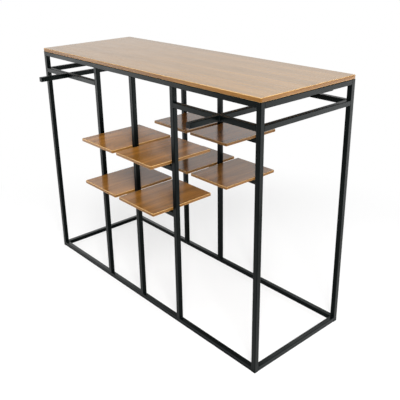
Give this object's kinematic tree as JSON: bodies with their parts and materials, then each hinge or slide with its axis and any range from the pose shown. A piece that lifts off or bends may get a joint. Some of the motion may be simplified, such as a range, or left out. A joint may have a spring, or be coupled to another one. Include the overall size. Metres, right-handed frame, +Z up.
{
  "type": "clothing display rack",
  "caption": "Free-standing double-sided clothing display rack: black square-tube steel frame, wood top board, front-to-back hanging bars and small wood shelf boards between posts.",
  "frame": {"origin": "on the floor, under the middle of the rack", "axes": "+X along the length, to the right seen from the front; +Y from front to back; +Z up"},
  "size_m": [1.4, 0.762, 1.0453],
  "materials": {
    "frame_steel": "semi-gloss black powder coat",
    "cap_plastic": "fine-grained black moulding",
    "top_wood": "warm brown oak face, semi-gloss",
    "shelf_wood": "warm brown oak face, semi-gloss"
  },
  "bodies": {
    "root": {"corner_post_front_left": "frame_steel", "corner_post_front_right": "frame_steel", "corner_post_back_left": "frame_steel", "corner_post_back_right": "frame_steel", "shelf_post_front_left": "frame_steel", "shelf_post_front_middle": "frame_steel", "shelf_post_front_right": "frame_steel", "shelf_post_back_left": "frame_steel", "shelf_post_back_middle": "frame_steel", "shelf_post_back_right": "frame_steel", "base_rail_front": "frame_steel", "base_rail_back": "frame_steel", "base_rail_left": "frame_steel", "base_rail_right": "frame_steel", "top_rail_front": "frame_steel", "top_rail_back": "frame_steel", "top_rail_left": "frame_steel", "top_rail_right": "frame_steel", "end_rail_left": "frame_steel", "end_rail_right": "frame_steel", "cross_rail_front_left": "frame_steel", "cross_rail_front_right": "frame_steel", "cross_rail_back_left": "frame_steel", "cross_rail_back_right": "frame_steel", "hanging_bar_left": "frame_steel", "hanging_bar_right": "frame_steel", "hanging_arm_front_left": "frame_steel", "hanging_arm_front_right": "frame_steel", "hanging_arm_back_left": "frame_steel", "hanging_arm_back_right": "frame_steel", "arm_cap_front_left": "cap_plastic", "arm_cap_front_right": "cap_plastic", "arm_cap_back_left": "cap_plastic", "arm_cap_back_right": "cap_plastic", "shelf_rail_front_upper_left": "frame_steel", "shelf_rail_front_upper_right": "frame_steel", "shelf_rail_front_lower_left": "frame_steel", "shelf_rail_front_lower_right": "frame_steel", "shelf_rail_back_upper_left": "frame_steel", "shelf_rail_back_upper_right": "frame_steel", "shelf_rail_back_lower_left": "frame_steel", "shelf_rail_back_lower_right": "frame_steel", "shelf_bearer_front_upper_left": "frame_steel", "shelf_bearer_front_upper_right": "frame_steel", "shelf_bearer_front_lower_left": "frame_steel", "shelf_bearer_front_lower_right": "frame_steel", "shelf_bearer_back_upper_left": "frame_steel", "shelf_bearer_back_upper_right": "frame_steel", "shelf_bearer_back_lower_left": "frame_steel", "shelf_bearer_back_lower_right": "frame_steel", "shelf_board_front_upper_left": "shelf_wood", "shelf_board_front_upper_right": "shelf_wood", "shelf_board_front_lower_left": "shelf_wood", "shelf_board_front_lower_right": "shelf_wood", "shelf_board_back_upper_left": "shelf_wood", "shelf_board_back_upper_right": "shelf_wood", "shelf_board_back_lower_left": "shelf_wood", "shelf_board_back_lower_right": "shelf_wood", "top_board": "top_wood"}
  },
  "joints": []
}
